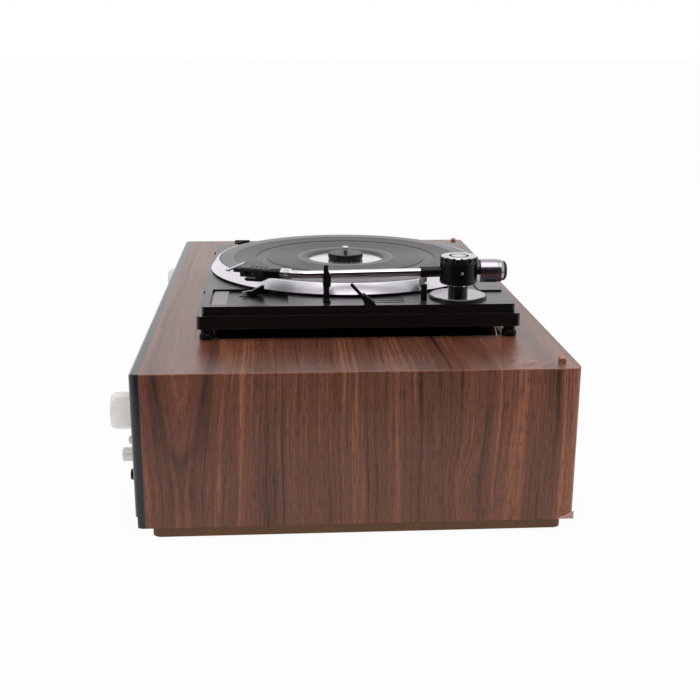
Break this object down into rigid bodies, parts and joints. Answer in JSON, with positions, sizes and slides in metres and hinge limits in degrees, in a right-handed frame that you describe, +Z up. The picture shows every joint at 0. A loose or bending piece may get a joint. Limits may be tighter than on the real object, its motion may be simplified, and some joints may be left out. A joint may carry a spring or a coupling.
{
  "type": "stereo system",
  "caption": "Wood-grained radio cabinet with a dial and control knobs on its front and a record turntable with a swinging tonearm on its top.",
  "frame": {"origin": "middle of the cabinet's plan, on the underside of the base board", "axes": "+X to the right seen from the front, +Y to the rear, +Z up"},
  "size_m": [0.635, 0.41, 0.2248],
  "materials": {
    "wood": "walnut-grain vinyl over board",
    "board": "plain brown hardboard",
    "black": "black moulded plastic",
    "black_gloss": "glossy black moulded plastic",
    "grey": "grey moulded plastic",
    "cream": "nylon",
    "silver": "satin aluminium",
    "platter": "polished aluminium",
    "chrome": "chromed metal",
    "steel": "plated steel",
    "copper": "copper-coloured screw",
    "rubber": "black rubber",
    "glass": "smoked dial glass",
    "circuit": "phenolic board",
    "pointer": "orange dial pointer",
    "string": "waxed cord"
  },
  "bodies": {
    "cabinet": {"base_board": "board", "top_panel": "wood", "left_side_panel": "wood", "right_side_panel": "wood", "rear_panel": "board", "front_bezel": "black", "face_plate": "silver", "dial_glass": "glass", "dial_scale": "black", "chassis": "steel", "circuit_board": "circuit", "power_transformer": "steel", "heat_sink": "silver", "control_pots": "steel", "tuning_gang": "steel", "dial_cord": "string", "cord_guides": "cream", "headphone_jack": "black", "phono_jacks": "steel", "cord_gland": "black", "cover_screws": "copper", "deck_plate": "black", "deck_base": "black", "deck_feet": "rubber", "control_plate": "silver", "arm_rest": "black", "arm_base_disc": "chrome", "arm_column": "black", "motor": "steel", "spindle": "chrome"},
    "platter": {"platter": "platter", "platter_mat": "rubber", "record_adapter": "black_gloss"},
    "idler": {"idler_wheel": "rubber"},
    "motor_rotor": {"motor_pulley": "steel"},
    "gimbal": {"gimbal_housing": "black_gloss", "gimbal_cap": "black_gloss"},
    "tonearm": {"arm_socket": "black", "arm_tube": "chrome", "head_collar": "chrome", "headshell": "black", "finger_lift": "silver", "cartridge": "black"},
    "weight": {"counterweight": "chrome", "weight_dial": "black"},
    "cue_lever": {"cue_lever": "black"},
    "cue_lift": {"cue_platform": "black"},
    "control_lever": {"control_lever": "steel", "lever_grip": "black"},
    "speed_lever": {"speed_lever": "black"},
    "tuning": {"tuning_knob": "silver"},
    "drum": {"dial_drum": "cream"},
    "pointer": {"dial_pointer": "pointer"},
    "volume": {"volume_knob": "silver"},
    "balance": {"balance_knob": "silver"},
    "bass": {"bass_knob": "silver"},
    "treble": {"treble_knob": "silver"},
    "selector": {"selector_knob": "silver"},
    "power": {"power_button": "silver"},
    "mono": {"mono_button": "grey"}
  },
  "joints": [
    {"name": "platter_spin", "type": "hinge", "parent": "cabinet", "child": "platter", "pos_m": [0.03, 0.0028, 0.193], "axis": [0, 0, 1], "continuous": true},
    {"name": "idler_spin", "type": "hinge", "parent": "cabinet", "child": "idler", "pos_m": [-0.05288, 0.05065, 0.176], "axis": [0, 0, 1], "continuous": true},
    {"name": "motor_spin", "type": "hinge", "parent": "cabinet", "child": "motor_rotor", "pos_m": [-0.0314, 0.03825, 0.176], "axis": [0, 0, 1], "continuous": true},
    {"name": "arm_swing", "type": "hinge", "parent": "cabinet", "child": "gimbal", "pos_m": [0.1795, 0.1024, 0.2098], "axis": [0, 0, -1], "range_deg": [0, 33]},
    {"name": "arm_lift", "type": "hinge", "parent": "gimbal", "child": "tonearm", "pos_m": [0.1795, 0.1024, 0.2098], "axis": [-1, 0, 0], "range_deg": [0, 7]},
    {"name": "weight_turn", "type": "hinge", "parent": "tonearm", "child": "weight", "pos_m": [0.1795, 0.1024, 0.2098], "axis": [0, 1, 0], "range_deg": [-180, 180]},
    {"name": "cue_lever_tilt", "type": "hinge", "parent": "cabinet", "child": "cue_lever", "pos_m": [0.205, 0.0117, 0.1869], "axis": [-1, 0, 0], "range_deg": [0, 60]},
    {"name": "cue_lift_rise", "type": "slide", "parent": "cabinet", "child": "cue_lift", "axis": [0, 0, 1], "range_m": [0, 0.004]},
    {"name": "control_lever_turn", "type": "hinge", "parent": "cabinet", "child": "control_lever", "pos_m": [0.18644, -0.07834, 0.1755], "axis": [0, 0, 1], "range_deg": [-4, 4]},
    {"name": "speed_lever_turn", "type": "hinge", "parent": "cabinet", "child": "speed_lever", "pos_m": [-0.1075, -0.114, 0.184], "axis": [0, 0, 1], "range_deg": [-25, 25]},
    {"name": "tuning_turn", "type": "hinge", "parent": "cabinet", "child": "tuning", "pos_m": [0.284, -0.196, 0.1092], "axis": [0, 1, 0], "range_deg": [-716, 716]},
    {"name": "drum_turn", "type": "hinge", "parent": "cabinet", "child": "drum", "pos_m": [-0.1, -0.18, 0.0943], "axis": [0, 1, 0], "range_deg": [-213, 213]},
    {"name": "pointer_slide", "type": "slide", "parent": "cabinet", "child": "pointer", "axis": [1, 0, 0], "range_m": [-0.1, 0.1]},
    {"name": "volume_turn", "type": "hinge", "parent": "cabinet", "child": "volume", "pos_m": [-0.15, -0.196, 0.054], "axis": [0, 1, 0], "range_deg": [-150, 150]},
    {"name": "balance_turn", "type": "hinge", "parent": "cabinet", "child": "balance", "pos_m": [-0.05, -0.196, 0.054], "axis": [0, 1, 0], "range_deg": [-150, 150]},
    {"name": "bass_turn", "type": "hinge", "parent": "cabinet", "child": "bass", "pos_m": [0.05, -0.196, 0.054], "axis": [0, 1, 0], "range_deg": [-150, 150]},
    {"name": "treble_turn", "type": "hinge", "parent": "cabinet", "child": "treble", "pos_m": [0.15, -0.196, 0.054], "axis": [0, 1, 0], "range_deg": [-150, 150]},
    {"name": "selector_turn", "type": "hinge", "parent": "cabinet", "child": "selector", "pos_m": [-0.25, -0.196, 0.1092], "axis": [0, 1, 0], "range_deg": [-60, 60]},
    {"name": "power_press", "type": "slide", "parent": "cabinet", "child": "power", "axis": [0, 1, 0], "range_m": [0, 0.004], "stiffness_N_per_m": 150, "springref_m": -0.002},
    {"name": "mono_press", "type": "slide", "parent": "cabinet", "child": "mono", "axis": [0, 1, 0], "range_m": [0, 0.003], "stiffness_N_per_m": 150, "springref_m": -0.002}
  ],
  "couplings": [
    {"joint": "idler_spin", "follows": "platter_spin", "ratio": 5.8},
    {"joint": "motor_spin", "follows": "platter_spin", "ratio": -25.778},
    {"joint": "drum_turn", "follows": "tuning_turn", "ratio": 0.2963},
    {"joint": "pointer_slide", "follows": "tuning_turn", "m_per_rad": 0.008}
  ]
}
